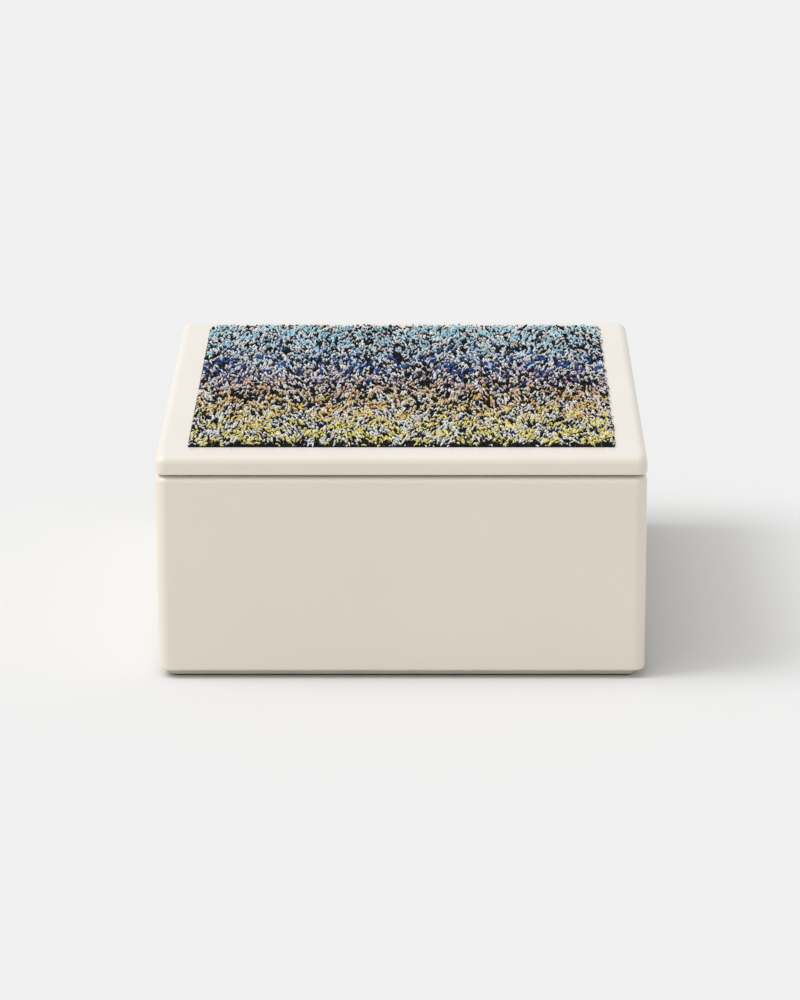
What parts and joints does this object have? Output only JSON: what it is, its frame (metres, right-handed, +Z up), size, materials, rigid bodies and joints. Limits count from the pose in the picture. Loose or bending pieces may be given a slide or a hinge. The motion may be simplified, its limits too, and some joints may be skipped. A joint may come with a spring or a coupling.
{
  "type": "storage box",
  "caption": "Rectangular lacquered keepsake box with rounded edges, a recessed foot and a lift-off lid that carries a pile cloth panel.",
  "frame": {"origin": "middle of the underside, on the surface that the box stands on", "axes": "+X to the right seen from the front, +Y from the front to the back, +Z up"},
  "size_m": [0.24, 0.264, 0.1169],
  "materials": {
    "cream_lacquer": "satin lacquer on board",
    "bare_board": "bare fibreboard",
    "foot_paint": "matt paint on board",
    "charcoal_felt": "pressed felt",
    "taupe_suede": "suede cloth on board",
    "grey_card": "grey card",
    "melange_pile": "short looped pile in mixed yarns"
  },
  "bodies": {
    "box": {"front_wall": "cream_lacquer", "back_wall": "cream_lacquer", "left_wall": "cream_lacquer", "right_wall": "cream_lacquer", "front_left_spline": "bare_board", "front_right_spline": "bare_board", "back_left_spline": "bare_board", "back_right_spline": "bare_board", "bottom_board": "bare_board", "plinth_board": "foot_paint", "base_felt": "charcoal_felt", "floor_lining": "taupe_suede", "front_lining": "taupe_suede", "back_lining": "taupe_suede", "left_lining": "taupe_suede", "right_lining": "taupe_suede"},
    "lid": {"lid_board": "cream_lacquer", "lid_locator": "cream_lacquer", "lid_lining": "taupe_suede", "insert_card": "grey_card", "textile_insert": "melange_pile"}
  },
  "joints": [
    {"name": "lid_lift", "type": "slide", "parent": "box", "child": "lid", "axis": [0, 0, 1], "range_m": [0, 0.12]}
  ]
}
